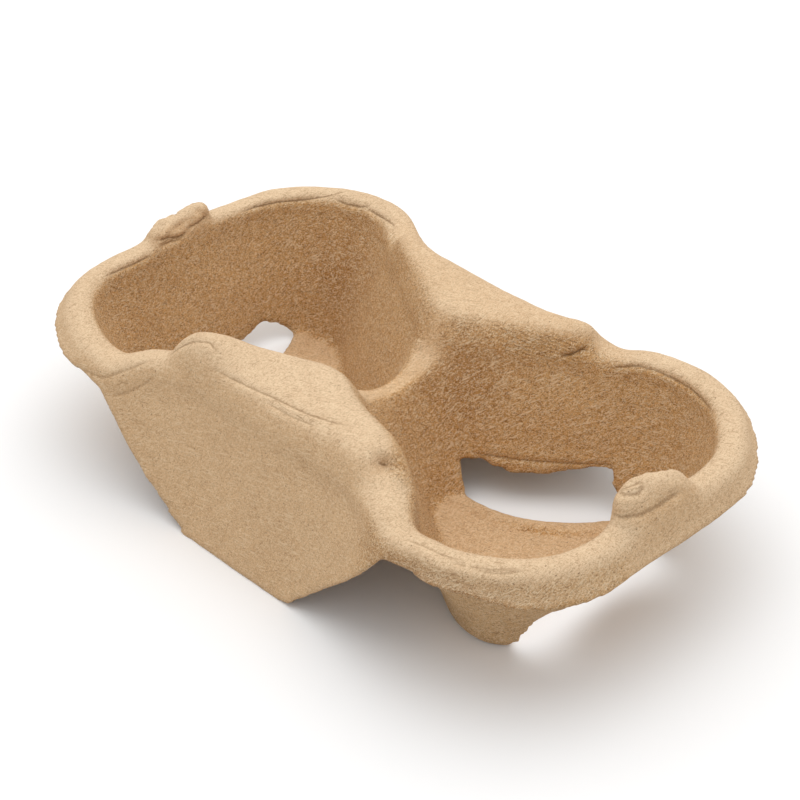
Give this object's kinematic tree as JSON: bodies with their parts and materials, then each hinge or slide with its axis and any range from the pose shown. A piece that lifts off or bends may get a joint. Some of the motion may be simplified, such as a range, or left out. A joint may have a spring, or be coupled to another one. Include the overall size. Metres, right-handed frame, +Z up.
{
  "type": "cup carrier",
  "caption": "Moulded paper pulp carrier with side by side tapered cup pockets, a sagging divider, raised side ridges, finger tabs and low windows.",
  "frame": {"origin": "on the table, under the middle of the divider between the pockets", "axes": "+X along the length through both pockets, +Y across the carrier, +Z up"},
  "size_m": [0.206, 0.12, 0.0506],
  "materials": {
    "pulp": "matt, fibrous kraft pulp"
  },
  "bodies": {
    "root": {"pulp_carrier": "pulp"}
  },
  "joints": []
}
